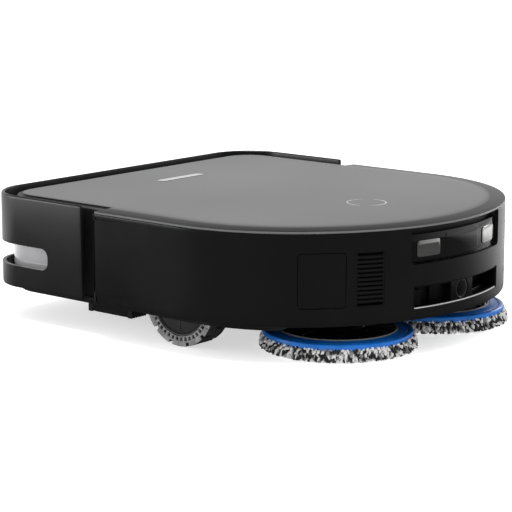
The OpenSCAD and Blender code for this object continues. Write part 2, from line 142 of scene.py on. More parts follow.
def finish_mesh(name, bm, mats, body, angle=32.0):
    """Makes an object of bm, smooth up to the angle, riding on the body."""
    bmesh.ops.recalc_face_normals(bm, faces=bm.faces)
    limit = math.radians(angle)
    for f in bm.faces:
        f.smooth = True
    for e in bm.edges:
        if len(e.link_faces) == 2 and e.calc_face_angle(0.0) > limit:
            e.smooth = False
    me = bpy.data.meshes.new(name)
    bm.to_mesh(me)
    bm.free()
    ob = bpy.data.objects.new(name, me)
    bpy.context.scene.collection.objects.link(ob)
    for m in (mats if isinstance(mats, (list, tuple)) else [mats]):
        me.materials.append(m)
    if body:
        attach(ob, body)
    return ob


def loops(bm, rings, closed=True, ends=False, mat=0):
    """Joins rings of points with quads. closed joins each ring's ends; ends caps the outermost rings."""
    made = [[bm.verts.new(p) for p in ring] for ring in rings]
    for a, b in zip(made, made[1:]):
        n = len(a)
        for i in range(n if closed else n - 1):
            j = (i + 1) % n
            f = bm.faces.new((a[i], a[j], b[j], b[i]))
            f.material_index = mat
    if ends:
        for ring in (made[0], made[-1]):
            f = bm.faces.new(ring)
            f.material_index = mat
    return made


def sweep(bm, where, stations, profile, mat=0):
    """A solid of closed profile(s) -> [(inset, z)] swept along the outline."""
    rings = [[at(where, s, z, inset) for inset, z in profile(s)] for s in stations]
    return loops(bm, rings, ends=True, mat=mat)


def upright(x, y):
    """Places a lathe's axis along Z, through (x, y)."""
    return lambda a, b, c: Vector((x + a, y + b, c)) * MM


def sideways(y, z, sign=1):
    """Places it along X, mirrored by the sign."""
    return lambda a, b, c: Vector((sign * c, y + a, z + b)) * MM


def endways(x, z):
    """Places it along Y."""
    return lambda a, b, c: Vector((x + a, c, z + b)) * MM


def turned(x, y, angle):
    """A matrix that turns a block about the vertical and then moves it to (x, y)."""
    return Matrix.Translation((x, y, 0)) @ Matrix.Rotation(angle, 4, "Z")


def lathe(bm, profile, steps=64, mat=0, place=upright(0, 0), closed=False):
    """Profile [(radius, height)] turned about the axis that place gives. Radius 0 makes a pole."""
    made = []
    for r, z in profile:
        turns = range(steps if r else 1)
        made.append([bm.verts.new(place(r * math.cos(TAU * i / steps), r * math.sin(TAU * i / steps), z))
                     for i in turns])
    pairs = list(zip(made, made[1:]))
    if closed:
        pairs.append((made[-1], made[0]))
    for a, b in pairs:
        for i in range(steps):
            j = (i + 1) % steps
            if len(a) == 1 and len(b) == 1:
                continue
            if len(a) == 1:
                f = bm.faces.new((a[0], b[j], b[i]))
            elif len(b) == 1:
                f = bm.faces.new((a[i], a[j], b[0]))
            else:
                f = bm.faces.new((a[i], a[j], b[j], b[i]))
            f.material_index = mat


def cut_out(ob, *cutters):
    """Cuts each cutter out of the object in turn, and removes the cutter."""
    for cutter in cutters:
        m = ob.modifiers.new("cut", "BOOLEAN")
        m.object, m.operation, m.solver = cutter, "DIFFERENCE", "EXACT"
        dg = bpy.context.evaluated_depsgraph_get()
        cut = ob.evaluated_get(dg)
        me = bpy.data.meshes.new_from_object(cut, preserve_all_data_layers=True, depsgraph=dg)
        ob.modifiers.clear()
        ob.data = me
        bpy.data.objects.remove(cutter, do_unlink=True)


def resharpen(ob, angle):
    """Welds a cut mesh and marks its sharp edges again."""
    bm = bmesh.new()
    bm.from_mesh(ob.data)
    bmesh.ops.remove_doubles(bm, verts=bm.verts, dist=1e-6)
    limit = math.radians(angle)
    for f in bm.faces:
        f.smooth = True
    for e in bm.edges:
        e.smooth = not (len(e.link_faces) == 2 and e.calc_face_angle(0.0) > limit)
    bm.to_mesh(ob.data)
    bm.free()


def bends(r, n=6):
    return [r * (1 - math.cos(math.pi / 2 * i / n)) for i in range(n + 1)] if r > 0.05 else [0.0]


def lift(d, r):
    """How far a corner of radius r has drawn an edge in, at distance d from the end."""
    return 0.0 if d >= r else r - math.sqrt(max(0.0, r * r - (r - d) ** 2))


def window(where, s0, s1, z0, z1, r_low, r_high, inset0, inset1, step=3.0):
    """A solid patch of the outline with rounded corners, for cutting."""
    r = max(r_low, r_high)
    first = bends(r)
    ss = [s0 + b for b in first] + spread(s0 + r, s1 - r, step)[1:-1] + [s1 - b for b in reversed(first)]
    rings = []
    for s in ss:
        d = min(s - s0, s1 - s)
        lo, hi = z0 + lift(d, r_low), z1 - lift(d, r_high)
        rings.append([at(where, s, lo, inset0), at(where, s, hi, inset0), at(where, s, hi, inset1),
                      at(where, s, lo, inset1)])
    bm = bmesh.new()
    loops(bm, rings, ends=True)
    return finish_mesh("cutter", bm, [], None)


def patch(bm, where, s0, s1, z0, z1, r_low, r_high, face, back, bevel=0.3, step=3.0, mat=0):
    """A plate that follows the outline: rounded corners and a bevel round its front edge."""
    r = max(r_low, r_high, bevel)
    first = sorted(set([0.0, bevel * 0.4, bevel] + bends(r)))
    ss = [s0 + b for b in first] + spread(s0 + r, s1 - r, step)[1:-1] + [s1 - b for b in reversed(first)]
    rings = []
    for s in ss:
        d = min(s - s0, s1 - s)
        lo, hi = z0 + lift(d, r_low), z1 - lift(d, r_high)
        e = face + bevel - math.sqrt(max(0.0, bevel ** 2 - max(0.0, bevel - d) ** 2))
        c = min(bevel, (hi - lo) / 3)
        pts = [(back, lo), (max(e, face + c), lo), (max(e, face + c * 0.3), lo + c * 0.3), (e, lo + c)]
        pts += [(e, hi - c), (max(e, face + c * 0.3), hi - c * 0.3), (max(e, face + c), hi), (back, hi)]
        rings.append([at(where, s, z, inset) for inset, z in pts])
    loops(bm, rings, ends=True, mat=mat)


def block(bm, lo, hi, bevel=0.4, mat=0, turn=None):
    """A box with bevelled edges, in mm. turn is a matrix put on its corners first."""
    made = bmesh.ops.create_cube(bm, size=1.0)["verts"]
    size = [h - l for l, h in zip(lo, hi)]
    mid = [(h + l) / 2 for l, h in zip(lo, hi)]
    for v in made:
        v.co = Vector([c * k + m for c, k, m in zip(v.co, size, mid)])
    edges = list({e for v in made for e in v.link_edges})
    faces = set(f for v in made for f in v.link_faces)
    if bevel:
        out = bmesh.ops.bevel(bm, geom=edges, offset=bevel, segments=2, affect="EDGES", profile=0.7)
        faces = set(out["faces"]) | {f for v in out["verts"] for f in v.link_faces}
    verts = {v for f in faces for v in f.verts}
    for f in faces:
        f.material_index = mat
    for v in verts:
        v.co = (turn @ v.co if turn else v.co) * MM


def tube(bm, pts, radii, sides=5, mat=0):
    """A tube through points in mm, with a radius at each."""
    rings = []
    ref = Vector((0.3, 0.2, 1.0)).normalized()
    for i, p in enumerate(pts):
        d = (pts[min(i + 1, len(pts) - 1)] - pts[max(i - 1, 0)]).normalized()
        u = d.cross(ref)
        u = u.normalized() if u.length > 1e-4 else Vector((1, 0, 0))
        w = d.cross(u)
        rings.append([(p + (u * math.cos(TAU * k / sides) + w * math.sin(TAU * k / sides)) * radii[i]) * MM
                      for k in range(sides)])
    loops(bm, rings, ends=True, mat=mat)


# ---------------------------------------------------------------- materials

class Nodes:
    """A new material, its Principled shader and short ways to add nodes to it."""

    def __init__(self, name):
        self.mat = bpy.data.materials.new(name)
        self.mat.use_nodes = True
        self.tree = self.mat.node_tree
        self.shader = self.tree.nodes["Principled BSDF"]
        self.coords = self.tree.nodes.new("ShaderNodeTexCoord").outputs["Object"]

    def add(self, kind, **values):
        node = self.tree.nodes.new(kind)
        for key, value in values.items():
            if key in node.inputs:
                node.inputs[key].default_value = value
            else:
                setattr(node, key.lower(), value)
        return node

    def link(self, a, b):
        self.tree.links.new(a, b)

    def noise(self, scale, detail=3.0, rough=0.55, stretch=None):
        node = self.add("ShaderNodeTexNoise", Scale=scale, Detail=detail, Roughness=rough)
        if stretch:
            mapping = self.add("ShaderNodeMapping", Scale=stretch)
            self.link(self.coords, mapping.inputs["Vector"])
            self.link(mapping.outputs["Vector"], node.inputs["Vector"])
        else:
            self.link(self.coords, node.inputs["Vector"])
        return node.outputs["Fac"]

    def ramp(self, fac, stops):
        node = self.tree.nodes.new("ShaderNodeValToRGB")
        e = node.color_ramp.elements
        while len(e) < len(stops):
            e.new(0.5)
        for item, (pos, col) in zip(e, stops):
            item.position = pos
            item.color = (*col, 1.0)
        self.link(fac, node.inputs["Fac"])
        return node.outputs["Color"]

    def span(self, fac, low, high, a=0.3, b=0.7):
        node = self.add("ShaderNodeMapRange")
        for key, value in (("From Min", a), ("From Max", b), ("To Min", low), ("To Max", high)):
            node.inputs[key].default_value = value
        self.link(fac, node.inputs["Value"])
        return node.outputs["Result"]

    def bump(self, height, strength, distance):
        node = self.add("ShaderNodeBump", Strength=strength, Distance=distance)
        self.link(height, node.inputs["Height"])
        return node.outputs["Normal"]


def shade(rgb, k):
    """A colour made lighter or darker."""
    return tuple(max(0.0, min(1.0, c * k)) for c in rgb)


def plastic(name, rgb, rough=0.42, play=0.06, grain=1400.0, bump=0.12, specular=0.5, coat=0.0,
            vary=0.12, metallic=0.0, cloud=22.0):
    """Moulded plastic or satin metal: fine grain in the bump, slow changes in colour and gloss."""
    m = Nodes(name)
    slow = m.noise(cloud, 4.0)
    m.link(m.ramp(slow, ((0.3, shade(rgb, 1 - vary)), (0.7, shade(rgb, 1 + vary)))),
           m.shader.inputs["Base Color"])
    m.link(m.span(slow, rough - play, rough + play), m.shader.inputs["Roughness"])
    m.link(m.bump(m.noise(grain, 2.0), bump, 0.0001), m.shader.inputs["Normal"])
    m.shader.inputs["Specular IOR Level"].default_value = specular
    m.shader.inputs["Coat Weight"].default_value = coat
    m.shader.inputs["Coat Roughness"].default_value = 0.08
    m.shader.inputs["Metallic"].default_value = metallic
    return m.mat


def brushed(name, rgb, rough=0.28, stretch=(1, 60, 60), bump=0.15):
    """Metal with fine lines: the axis that stretch scales least runs along them."""
    m = Nodes(name)
    lines = m.noise(90.0, 4.0, 0.6, stretch)
    m.link(m.ramp(lines, ((0.3, shade(rgb, 0.82)), (0.7, rgb))), m.shader.inputs["Base Color"])
    m.link(m.span(lines, rough - 0.05, rough + 0.06), m.shader.inputs["Roughness"])
    m.link(m.bump(lines, bump, 0.00005), m.shader.inputs["Normal"])
    m.shader.inputs["Metallic"].default_value = 1.0
    return m.mat


def lid_satin_painted_edge_shade(name, rgb, low, high):
    """Satin lid with painted shade: its base colour is painted darker and its specular level lowered down the
    rolled edge, between two heights in mm, to stand in for the shade there.
    """
    m = Nodes(name)
    axes = m.add("ShaderNodeSeparateXYZ")
    m.link(m.coords, axes.inputs["Vector"])
    up = m.span(axes.outputs["Z"], 0.0, 1.0, low * MM, high * MM)
    slow = m.noise(9.0, 0.0)
    # painted shade: the colour ramp darkens the lid towards the bottom of its rolled edge
    tone = m.add("ShaderNodeMath", Operation="MULTIPLY")
    m.link(up, tone.inputs[0])
    m.link(m.span(slow, 0.96, 1.0, 0.0, 1.0), tone.inputs[1])
    m.link(m.ramp(tone.outputs["Value"], ((0.0, shade(rgb, 0.4)), (0.8, shade(rgb, 0.45)),
                                          (0.94, shade(rgb, 0.65)), (1.0, rgb))),
           m.shader.inputs["Base Color"])
    # the specular level falls with it, deepening the painted shade
    m.link(m.span(up, 0.05, 0.54, 0.80, 1.0), m.shader.inputs["Specular IOR Level"])
    m.link(m.span(slow, 0.27, 0.31, 0.0, 1.0), m.shader.inputs["Roughness"])
    m.link(m.bump(m.noise(900.0, 2.0), 0.02, 0.0001), m.shader.inputs["Normal"])
    return m.mat


def mottled(name):
    """Looped cloth in black, grey and white."""
    m = Nodes(name)
    cell = m.add("ShaderNodeTexVoronoi", Scale=420.0)
    m.link(m.coords, cell.inputs["Vector"])
    tone = m.tree.nodes.new("ShaderNodeSeparateColor")
    m.link(cell.outputs["Color"], tone.inputs["Color"])
    m.link(m.ramp(tone.outputs[0], ((0.35, (0.015, 0.015, 0.016)), (0.5, (0.2, 0.2, 0.2)),
                                    (0.62, (0.6, 0.6, 0.59)))), m.shader.inputs["Base Color"])
    m.link(m.bump(cell.outputs["Distance"], 0.8, 0.0012), m.shader.inputs["Normal"])
    m.shader.inputs["Roughness"].default_value = 0.9
    m.shader.inputs["Sheen Weight"].default_value = 0.2
    return m.mat


def fibre(name, rgb, vary=0.3, rough=0.85):
    """Threads, bristles and paper: dull, with a little sheen."""
    m = Nodes(name)
    fine = m.noise(1800.0, 3.0)
    m.link(m.ramp(fine, ((0.25, shade(rgb, 1 - vary)), (0.75, shade(rgb, 1 + vary)))),
           m.shader.inputs["Base Color"])
    m.link(m.bump(fine, 0.5, 0.0003), m.shader.inputs["Normal"])
    m.shader.inputs["Roughness"].default_value = rough
    m.shader.inputs["Sheen Weight"].default_value = 0.25
    m.shader.inputs["Specular IOR Level"].default_value = 0.2
    return m.mat


MAT = {
    # the lid's rolled edge carries painted shade
    "lid": lid_satin_painted_edge_shade("lid_satin_painted_edge_shade", (0.033, 0.033, 0.0345), 100.1, 101.42),
    "lid_rim": plastic("lid_rim", (0.13, 0.13, 0.134), 0.38, 0.03, 2200.0, 0.08, 0.5, vary=0.05, cloud=9.0),
    "wall": plastic("wall_black", (0.0045, 0.0045, 0.0048), 0.30, 0.03, 1600.0, 0.05, 0.35, vary=0.1),
    "bumper": plastic("bumper_black", (0.0075, 0.0075, 0.008), 0.30, 0.03, 1600.0, 0.05, 0.45, vary=0.1),
    "base": plastic("base_black", (0.010, 0.010, 0.0105), 0.55, 0.06, 900.0, 0.35, 0.35),
    "inner": plastic("inner_plastic", (0.02, 0.02, 0.021), 0.5, 0.06, 1000.0, 0.25, 0.4),
    "gloss": plastic("gloss_black", (0.003, 0.003, 0.0032), 0.09, 0.03, 300.0, 0.01, 0.38, coat=0.1),
    "port": plastic("port_black", (0.002, 0.002, 0.0021), 0.34, 0.04, 900.0, 0.05, 0.16),
    "window": plastic("window_smoke", (0.42, 0.42, 0.43), 0.10, 0.03, 300.0, 0.01, 1.0, coat=1.0),
    "metal": brushed("brushed_contact", (0.55, 0.545, 0.535), 0.09, (1, 1, 14), 0.02),
    "steel": brushed("screw_steel", (0.5, 0.5, 0.5), 0.3, (30, 30, 1)),
    "board": plastic("board_green", (0.012, 0.09, 0.035), 0.4, 0.1, 500.0, 0.3, 0.5, vary=0.35, cloud=220.0),
    "battery": plastic("battery_wrap", (0.03, 0.05, 0.16), 0.32, 0.08, 60.0, 0.4, 0.5),
    "tank": plastic("tank_smoke", (0.09, 0.11, 0.13), 0.22, 0.05, 500.0, 0.05, 0.5),
    "silver": brushed("silver_trim", (0.78, 0.78, 0.79), 0.24, (1, 40, 1)),
    "print": plastic("print_white", (0.62, 0.62, 0.62), 0.5, 0.05, 3000.0, 0.3),
    "rubber": plastic("brush_rubber", (0.01, 0.04, 0.12), 0.6, 0.08, 700.0, 0.3, 0.35),
    "bristle": fibre("bristle_black", (0.02, 0.02, 0.022), 0.4, 0.6),
    "tyre": plastic("tyre_rubber", (0.23, 0.23, 0.23), 0.72, 0.08, 1100.0, 0.6, 0.3, vary=0.3, cloud=120.0),
    # painted shade: a darker copy of the tyre rubber, for the shaded tread
    "tread": plastic("tread_painted_shade", (0.022, 0.022, 0.022), 0.75, 0.08, 1100.0, 0.6, 0.3, vary=0.3,
                     cloud=120.0),
    "rim": plastic("rim_black", (0.022, 0.022, 0.023), 0.42, 0.05, 1000.0, 0.2, 0.45),
    "blue": plastic("ring_blue", (0.003, 0.14, 0.54), 0.34, 0.06, 900.0, 0.10, 0.5, vary=0.12, cloud=60.0),
    "bin": plastic("bin_smoke", (0.06, 0.06, 0.07), 0.2, 0.05, 500.0, 0.05, 0.5),
    "filter": fibre("filter_paper", (0.75, 0.74, 0.70), 0.08),
    "handle": plastic("handle_blue", (0.01, 0.06, 0.3), 0.4, 0.05, 900.0, 0.15),
    "button": plastic("button_silver", (0.5, 0.5, 0.51), 0.3, 0.05, 900.0, 0.05, metallic=0.6),
    "red": plastic("sensor_red", (0.03, 0.004, 0.006), 0.08, 0.03, 300.0, 0.01, 0.6, coat=0.5),
    "rim_grey": plastic("rim_grey", (0.24, 0.24, 0.24), 0.35, 0.05, 900.0, 0.08),
    # painted highlight: light grey for the strip along the bottom lip of the lower ports
    "lip": plastic("port_lip_painted_highlight", (0.42, 0.42, 0.42), 0.3, 0.05, 900.0, 0.08),
    "cloth": mottled("mop_cloth"),
    "tuft_white": fibre("tuft_white", (0.66, 0.66, 0.65), 0.18),
    "tuft_grey": fibre("tuft_grey", (0.20, 0.20, 0.21), 0.3),
    "tuft_black": fibre("tuft_black", (0.012, 0.012, 0.013), 0.4),
}

# the CAD nodes that stay visible, by look
CAD_LOOK = {
    "base": "base_plate",
    "inner": "top_deck mop_bay wheel_wells front_sensors fan_housing water_pump mop_drives caster_socket "
             "caster_fork brush_housing brush_core brush_drive side_brush_motor bumper_guides "
             "bumper_switches bin_cover drive_arm_left drive_arm_right mop_carrier_left mop_carrier_right",
    "window": "sensor_window",
    "red": "cliff_sensors",
    "steel": "suspension_spring_left suspension_spring_right",
    "board": "main_board",
    "battery": "battery_pack",
    "tank": "water_tank",
    "silver": "fan_impeller",
    "bin": "bin_tub",
    "filter": "bin_filter",
    "handle": "bin_handle",
}
for look, names in CAD_LOOK.items():
    for name in names.split():
        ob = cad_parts[name]
        if not ob.material_slots:
            ob.data.materials.append(MAT[look])
        for ms in ob.material_slots:
            ms.material = MAT[look]


# ---------------------------------------------------------------- lid

def lid_ring(a, z):
    """The lid's outline, drawn a mm inside its edge: full width behind the bumper, narrower in front."""
    near = min(a, 3.0 + a * 0.08)                       # beside the bumper the edge rolls over sooner
    out = 0.2 + a
    front = max(13.4 + near, out + 0.3)
    ys = WALL_Y + 0.2 + near
    r_out = min(max(2.2 - near, 0.05), (front - out) * 0.3)
    r_in = min(1.0 + near * 0.9, (front - out) * 0.6)
    xo, xi = HALF_W - out, HALF_W - front
    rear = arc(xo - r_out, ys + r_out, r_out, -math.pi / 2, 0, 6)                # outer corner of the step
    rear += [(xo, ys + r_out + (REAR_Y - ys - r_out) * i / 11) for i in range(1, 11)]
    rear += arc(SIDE_X, REAR_Y, SIDE_R - out, 0, TANGENT, 27)
    rear += arc(0.0, REAR_CY, REAR_R - out, TANGENT, math.pi / 2, 22)[1:]
    fore = arc(xi + r_in, ys - r_in, r_in, math.pi / 2, math.pi, 6)              # inner corner of the step
    fore += [(xi, ys - r_in + (-HALF_L + CORNER_R - ys + r_in) * i / 11) for i in range(1, 11)]
    fore += arc(HALF_W - CORNER_R, -HALF_L + CORNER_R, CORNER_R - front, 0, -math.pi / 2, 16)
    fore.append((0.0, -HALF_L + front))
    right = list(reversed(fore)) + rear                 # front middle, up the +X side, to the rear middle
    return flat(right + [(-x, y) for x, y in reversed(right[1:-1])], z)


bm = bmesh.new()
CROWN_W, CROWN_Z, TOP_Z, UNDER_Z = 24.0, 100.1, 101.5, 98.9
rim = [(3.0, UNDER_Z), (1.2, 98.45), (0.3, 98.45), (0.0, 98.7), (0.0, 99.9), (0.15, 100.05)]
loops(bm, [lid_ring(a, z) for a, z in rim], mat=1)
crown = [(0.15, 100.05), (0.45, CROWN_Z)]
for i in range(1, 15):
    t = (i / 14) ** 1.3
    crown.append((0.45 + CROWN_W * t, TOP_Z - (TOP_Z - CROWN_Z) * (1 - t) ** 2.1))
crown.append((26.0, TOP_Z))
bm.faces.new(loops(bm, [lid_ring(a, z) for a, z in crown])[-1])
bm.faces.new([v for v in bm.verts if abs(v.co.z - UNDER_Z * MM) < 1e-6])
bmesh.ops.remove_doubles(bm, verts=bm.verts, dist=1e-6)
lid = finish_mesh("lid_cover", bm, [MAT["lid"], MAT["lid_rim"]], "lid", 24)
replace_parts(lid, "top_lid")


BAR_HALF, BAR_Y = 22.0, -112.0


def pill(r, z):
    """The outline of the rounded bar on the lid, with ends of radius r."""
    right = arc(BAR_HALF, BAR_Y, r, -math.pi / 2, math.pi / 2, 14)
    return flat(right + arc(-BAR_HALF, BAR_Y, r, math.pi / 2, 3 * math.pi / 2, 14), z)


bm = bmesh.new()
border = [(4.9, 101.1), (4.9, 101.53), (4.75, 101.56), (4.1, 101.56), (4.1, 101.1)]
trim = [(4.1, 101.1), (4.1, 101.58), (3.95, 101.67), (3.6, 101.7), (1.5, 101.7)]
loops(bm, [pill(r, z) for r, z in border], ends=True, mat=1)
loops(bm, [pill(r, z) for r, z in trim], ends=True)
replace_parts(finish_mesh("lid_bar", bm, [MAT["silver"], MAT["gloss"]], "lid", 30), "lid_inlay")

TOUCH_Y = 87.0
bm = bmesh.new()
for turn in (20, 200):                                  # two plain arcs
    rings = []
    for i in range(41):
        a = math.radians(turn + 28 + (180 - 28) * i / 40)
        w = 0.4 * min(1.0, (20.5 - abs(i - 20)) / 3.0)
        ring = [(15.5 - w, 101.2), (15.5 - w, 101.56), (15.5 + w, 101.56), (15.5 + w, 101.2)]
        rings.append([Vector((r * math.cos(a), TOUCH_Y + r * math.sin(a), h)) * MM for r, h in ring])
    loops(bm, rings, ends=True)
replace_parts(finish_mesh("touch_ring", bm, MAT["print"], "lid", 30), "touch_mark")

# ---------------------------------------------------------------- side wall

def fade(y, y0, y1):
    """1 at y0, falling smoothly to 0 at y1."""
    t = max(0.0, min(1.0, (y - y0) / (y1 - y0)))
    return 1 - t * t * (3 - 2 * t)


GROOVE_Z = 95.4


def wall_profile(s):
    y = rear_at(s)[0][1]
    low = fade(y, WALL_Y, 10.0)                # the lower skirt near the bumper
    cut = 0.9 * fade(y, -50.0, -2.0)          # the tapering groove under the lid
    gz = 1.2 * fade(y, -50.0, -2.0) + 0.02
    foot = [(3.0, 30.5), (12.5, 30.5), (12.5, SKIRT_Z), (3.0, SKIRT_Z), (1.4 + 0.5 * low, SKIRT_Z),
            (0.6 + 1.0 * low, 28.25), (0.2 + 1.1 * low, 28.9), (1.0 * low, 30.0), (0.7 * low, 33.0),
            (0.5 * low, 35.6), (0.1 * low, 36.6), (0.0, 37.0), (0.0, 60.0)]
    groove = [(0.0, GROOVE_Z - gz), (cut, GROOVE_Z - gz * 0.8), (cut, GROOVE_Z + gz * 0.2),
              (0.0, GROOVE_Z + gz * 0.4)]
    return foot + groove + [(0.0, 97.5), (0.12, 97.95), (0.5, SEAM_Z), (3.0, SEAM_Z)]


wall_s = rear_s(WALL_Y)
stations = spread(-wall_s, -SIDE_S, 5.0) + spread(-SIDE_S, SIDE_S, 3.2)[1:-1] + spread(SIDE_S, wall_s, 5.0)
bm = bmesh.new()
sweep(bm, rear_at, stations, wall_profile)
wall = finish_mesh("side_wall", bm, MAT["wall"], None, 25)

VENT_S, VENT_HALF = REAR_R * math.radians(90 - 59.7), 11.5
PANEL_S, PANEL_HALF = REAR_R * math.radians(90 - 47.6), 18.4
SIDE_LOW, SIDE_HIGH = 42.0, 84.0          # the vents and service panels share their height
cuts = [window(rear_at, -58.6, 58.6, 70.5, 104.0, 3.4, 0.0, -3.0, 12.0),          # contact panel
        window(rear_at, -56.4, 56.4, 36.5, 54.0, 2.2, 1.8, -3.0, 12.0)]           # lower ports
for _, sign in SIDES:
    for middle, half, r in ((VENT_S, VENT_HALF, 0.8), (PANEL_S, PANEL_HALF, 3.2)):
        s0, s1 = sign * middle - half, sign * middle + half
        cuts.append(window(rear_at, s0, s1, SIDE_LOW, SIDE_HIGH, r, r, -3.0, 8.0))
cut_out(wall, *cuts)
resharpen(wall, 25)

bm = bmesh.new()
PIN_X, PIN_Z, PIN_HOLE = 110.0, 80.0, 3.4          # the bumper's guide pins pass a square hole on each side
wall_end, hole_in, hole_out = front_s(WALL_Y), PIN_X - PIN_HOLE, PIN_X + PIN_HOLE
lengths = [(-hole_in, hole_in, SKIRT_Z, SEAM_Z)]
for s0, s1 in ((hole_out, wall_end), (-wall_end, -hole_out)):
    lengths.append((s0, s1, SKIRT_Z, SEAM_Z))
for s0, s1 in ((hole_in, hole_out), (-hole_out, -hole_in)):
    lengths += [(s0, s1, SKIRT_Z, PIN_Z - PIN_HOLE), (s0, s1, PIN_Z + PIN_HOLE, SEAM_Z)]
for s0, s1, low, high in lengths:
    section = [(13.0, low), (15.5, low), (15.5, high), (13.3, high), (13.0, high - 0.3)]
    sweep(bm, front_at, spread(s0, s1, 3.0), lambda s: section)
for _, sign in SIDES:
    ring = [(0.35, WALL_Y), (0.0, -53.1), (0.0, -52.0), (15.5, -52.0), (15.5, WALL_Y)]
    rings = [[Vector((sign * (HALF_W - i), y, z)) * MM for i, y in ring] for z in (SKIRT_Z, SEAM_Z)]
    loops(bm, rings, ends=True)
inner_wall = finish_mesh("front_wall", bm, MAT["base"], "chassis", 30)
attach(wall, "chassis")
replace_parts(wall, "side_shell")
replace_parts(inner_wall, "side_shell")

for side, sign in SIDES:
    bm = bmesh.new()
    patch(bm, rear_at, sign * PANEL_S - 18.0, sign * PANEL_S + 18.0, 42.4, 83.6, 2.8, 2.8, 0.0, 3.4, 0.35)
    patch(bm, rear_at, sign * PANEL_S - 20.0, sign * PANEL_S + 20.0, 40.4, 85.6, 2.0, 2.0, 3.2, 4.4, 0.3)
    panel = finish_mesh("service_panel_" + side, bm, MAT["wall"], "chassis", 25)
    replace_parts(panel, "side_panels")

    bm = bmesh.new()
    v0, v1 = sign * VENT_S - 11.4, sign * VENT_S + 11.4
    patch(bm, rear_at, v0, v1, 42.1, 83.9, 0.7, 0.7, 6.0, 7.0, 0.2)
    for lo, hi in ((42.1, 43.1), (82.9, 83.9)):
        patch(bm, rear_at, v0, v1, lo, hi, 0.0, 0.0, 0.15, 6.2, 0.2)
    for e0, e1 in ((v0, v0 + 1.1), (v1 - 1.1, v1)):
        patch(bm, rear_at, e0, e1, 43.0, 83.0, 0.0, 0.0, 0.15, 6.2, 0.2)
    for k in range(1, 12):
        z = 43.0 + 40.0 * k / 12
        ring = [(0.1, z - 1.05), (0.35, z - 1.25), (4.2, z + 1.1), (4.2, z + 2.2), (0.35, z + 0.75),
                (0.1, z + 0.5)]
        sweep(bm, rear_at, spread(v0 + 0.6, v1 - 0.6, 3.0), lambda s, ring=ring: ring)
    vent = finish_mesh("louvres_" + side, bm, MAT["wall"], "chassis", 25)
    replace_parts(vent, "side_vents")

# ---------------------------------------------------------------- rear ports

bm = bmesh.new()
patch(bm, rear_at, -58.4, 58.4, 70.7, 93.0, 3.2, 0.6, 2.9, 8.0, 0.45, mat=0)
panel = finish_mesh("contact_panel", bm, MAT["gloss"], "chassis", 25)
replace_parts(panel, "rear_panel")
bm = bmesh.new()
patch(bm, rear_at, -58.4, 58.4, 92.5, 98.2, 0.0, 0.0, 7.0, 8.2, 0.2)
for e in (-58.4, 57.2):
    patch(bm, rear_at, e, e + 1.2, 92.6, 98.1, 0.0, 0.0, 3.0, 8.0, 0.2)
finger = finish_mesh("finger_recess", bm, MAT["base"], "chassis", 25)
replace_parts(finger, "rear_panel")
bm = bmesh.new()
patch(bm, rear_at, -22.2, 22.2, 75.0, 91.0, 1.5, 1.5, 2.75, 3.4, 0.12)
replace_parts(finish_mesh("signal_window", bm, MAT["gloss"], "chassis", 25), "ir_window")
for side, sign in SIDES:
    bm = bmesh.new()
    s0, s1 = sorted((sign * 28.6, sign * 51.8))
    patch(bm, rear_at, s0, s1, 75.4, 88.1, 2.3, 2.3, 2.2, 3.4, 0.35, step=2.0)
    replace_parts(finish_mesh("contact_" + side, bm, MAT["metal"], "chassis", 25),
                "charging_contacts")

INLET_X, INLET_Z = 3.0, 45.6
bm = bmesh.new()
# back of the recess, open at the flap
patch(bm, rear_at, -11.0, 56.2, 36.7, 53.8, 2.0, 1.6, 9.4, 10.0, 0.2)
patch(bm, rear_at, -56.2, -11.0, 36.7, 39.4, 2.0, 0.0, 9.4, 10.0, 0.2)
patch(bm, rear_at, -56.2, -11.0, 51.6, 53.8, 0.0, 1.6, 9.4, 10.0, 0.2)
block(bm, (-54.4, 159.2, 37.4), (-52.2, 170.8, 53.2), 0.3)
patch(bm, rear_at, -56.2, 56.2, 36.6, 38.1, 0.5, 0.0, 0.7, 9.6, 0.3)                    # bottom lip
patch(bm, rear_at, -56.2, 56.2, 52.6, 53.9, 0.0, 0.5, 0.7, 9.6, 0.3)
for e0, e1, face, deep in ((-56.3, -54.8, 0.7, 3.2), (54.8, 56.3, 0.7, 9.8), (48.0, 55.6, 2.4, 9.8)):
    patch(bm, rear_at, e0, e1, 37.4, 53.2 if face < 1 else 50.6, 0.4, 0.4, face, deep, 0.35)
patch(bm, rear_at, 17.2, 35.0, 38.0, 52.8, 0.3, 0.3, 6.8, 9.8, 0.4)
# painted highlight: a light grey strip along the bottom lip stands in for the light caught on its edge
patch(bm, rear_at, -53.0, 55.6, 36.6, 37.6, 0.2, 0.2, 0.25, 2.0, 0.2, mat=1)
frame_ob = finish_mesh("port_frame", bm, [MAT["port"], MAT["lip"]], None, 25)
bm = bmesh.new()
patch(bm, rear_at, -11.1, 17.1, 37.2, 53.4, 0.6, 0.6, 1.1, 9.8, 0.4, step=2.0)
block_ob = finish_mesh("port_block", bm, MAT["port"], None, 25)
bm = bmesh.new()
lathe(bm, [(0, 150.0), (8.0, 150.0), (8.0, 195.0), (0, 195.0)], 48, place=endways(INLET_X, INLET_Z))
cutter = finish_mesh("cutter", bm, [], None)
cut_out(block_ob, cutter)
resharpen(block_ob, 25)
for ob in (frame_ob, block_ob):
    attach(ob, "chassis")
    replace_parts(ob, "rear_port_frame")
bm = bmesh.new()
lathe(bm, [(6.0, 164.0), (7.9, 164.0), (7.9, 180.6), (7.4, 181.4), (6.9, 181.5), (6.3, 181.0), (6.0, 180.0),
           (6.0, 172.0), (3.0, 170.0),
           (3.0, 164.0)], 56, place=endways(INLET_X, INLET_Z), closed=True)
